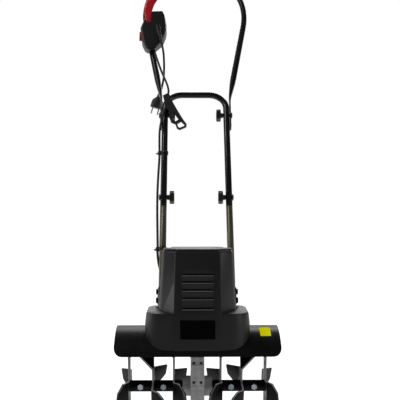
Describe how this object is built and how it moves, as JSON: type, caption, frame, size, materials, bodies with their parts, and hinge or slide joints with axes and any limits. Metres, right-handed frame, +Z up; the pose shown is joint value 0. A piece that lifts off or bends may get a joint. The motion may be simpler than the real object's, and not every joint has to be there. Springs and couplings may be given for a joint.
{
  "type": "electric tiller",
  "caption": "Upright electric garden tiller with bolted star tines under a curved guard, a louvred motor housing and a folding tube handle with a switch box and bail lever.",
  "frame": {"origin": "middle of the machine's footprint on the ground, measured without the mains lead and its plug", "axes": "+Z up, the front of the machine faces -Y, the handle leans back towards +Y, and +X is to the right of someone who looks at the front along +Y"},
  "size_m": [0.4, 0.7429, 1.2739],
  "materials": {
    "tube_paint": "gloss black paint",
    "guard_paint": "semi-gloss black paint",
    "tine_paint": "satin black paint",
    "housing_plastic": "fine grained black moulding",
    "black_plastic": "smooth black moulding",
    "badge_gloss": "plain gloss black",
    "red_plastic": "gloss red",
    "cast_metal": "die cast, unpainted",
    "steel": "machined",
    "zinc": "bright zinc plated",
    "bronze": "hobbed bronze",
    "winding": "varnished copper wire and steel sheets",
    "rubber": "soft black"
  },
  "bodies": {
    "chassis": {"gearcase_left": "cast_metal", "gearcase_right": "cast_metal", "gear_neck": "cast_metal", "shaft_bearing_left": "steel", "shaft_bearing_right": "steel", "shaft_seal_left": "rubber", "shaft_seal_right": "rubber", "worm_bearing_lower": "steel", "worm_bearing_upper": "steel", "motor_can": "steel", "stator": "winding", "end_bracket": "black_plastic", "top_bearing": "steel", "base_plate": "guard_paint", "tine_guard": "guard_paint", "housing_front": "housing_plastic", "housing_rear": "housing_plastic", "badge_plate": "badge_gloss", "lower_tube_left": "tube_paint", "lower_tube_right": "tube_paint", "tube_clamp_left": "guard_paint", "tube_clamp_right": "guard_paint", "middle_tube": "tube_paint", "bolt_lower_left": "zinc", "bolt_lower_right": "zinc", "bolt_upper_left": "zinc", "bolt_upper_right": "zinc", "cable_hook": "black_plastic", "motor_cable": "rubber", "cable_clip_upper": "black_plastic", "cable_clip_lower": "black_plastic", "stake_bracket": "guard_paint"},
    "tines": {"tine_shaft": "steel", "worm_wheel": "bronze", "tine_set_inner_left": "tine_paint", "tine_set_inner_right": "tine_paint", "tine_set_outer_left": "tine_paint", "tine_set_outer_right": "tine_paint", "tine_bolt_inner_left": "zinc", "tine_bolt_inner_right": "zinc", "tine_bolt_outer_left": "zinc", "tine_bolt_outer_right": "zinc"},
    "rotor": {"worm_shaft": "steel", "armature": "winding", "cooling_fan": "black_plastic"},
    "handle": {"upper_hoop": "tube_paint", "switch_box_front": "black_plastic", "switch_box_rear": "black_plastic", "switch": "black_plastic", "cord_gland": "rubber", "mains_lead": "rubber", "mains_plug": "rubber"},
    "lever": {"bail_lever": "red_plastic"},
    "button": {"lock_button": "red_plastic"},
    "lower_left_knob": {"knob_lower_left": "black_plastic"},
    "lower_right_knob": {"knob_lower_right": "black_plastic"},
    "upper_left_knob": {"knob_upper_left": "black_plastic"},
    "upper_right_knob": {"knob_upper_right": "black_plastic"},
    "stake": {"drag_stake": "zinc"},
    "clamp_knob": {"stake_knob": "black_plastic"}
  },
  "joints": [
    {"name": "tine_rotation", "type": "hinge", "parent": "chassis", "child": "tines", "pos_m": [0, -0.2475, 0.103], "axis": [1, 0, 0], "continuous": true},
    {"name": "motor_rotation", "type": "hinge", "parent": "chassis", "child": "rotor", "pos_m": [0, -0.282, 0.103], "axis": [0, 0, 1], "continuous": true},
    {"name": "handle_fold", "type": "hinge", "parent": "chassis", "child": "handle", "pos_m": [0, 0.08686, 0.81208], "axis": [1, 0, 0], "range_deg": [0, 150], "deforming": ["motor_cable"]},
    {"name": "bail_pull", "type": "hinge", "parent": "handle", "child": "lever", "pos_m": [0, 0.26069, 1.12002], "axis": [-1, 0, 0], "range_deg": [0, 8.5], "stiffness_Nm_per_rad": 1.2, "springref_deg": -11.46},
    {"name": "lock_press", "type": "slide", "parent": "handle", "child": "button", "axis": [1, 0, 0], "range_m": [0, 0.004], "stiffness_N_per_m": 400, "springref_m": -0.002},
    {"name": "lower_left_knob_turn", "type": "hinge", "parent": "chassis", "child": "lower_left_knob", "pos_m": [-0.07, -0.06304, 0.57405], "axis": [1, 0, 0], "continuous": true},
    {"name": "lower_right_knob_turn", "type": "hinge", "parent": "chassis", "child": "lower_right_knob", "pos_m": [0.07, -0.06304, 0.57405], "axis": [1, 0, 0], "continuous": true},
    {"name": "upper_left_knob_turn", "type": "hinge", "parent": "chassis", "child": "upper_left_knob", "pos_m": [-0.07, 0.08686, 0.81208], "axis": [1, 0, 0], "continuous": true},
    {"name": "upper_right_knob_turn", "type": "hinge", "parent": "chassis", "child": "upper_right_knob", "pos_m": [0.07, 0.08686, 0.81208], "axis": [1, 0, 0], "continuous": true},
    {"name": "stake_slide", "type": "slide", "parent": "chassis", "child": "stake", "axis": [0, 0, 1], "range_m": [-0.025, 0.06]},
    {"name": "stake_knob_turn", "type": "hinge", "parent": "chassis", "child": "clamp_knob", "pos_m": [0, -0.076, 0.177], "axis": [0, 1, 0], "continuous": true}
  ],
  "couplings": [
    {"joint": "motor_rotation", "follows": "tine_rotation", "ratio": 30}
  ]
}
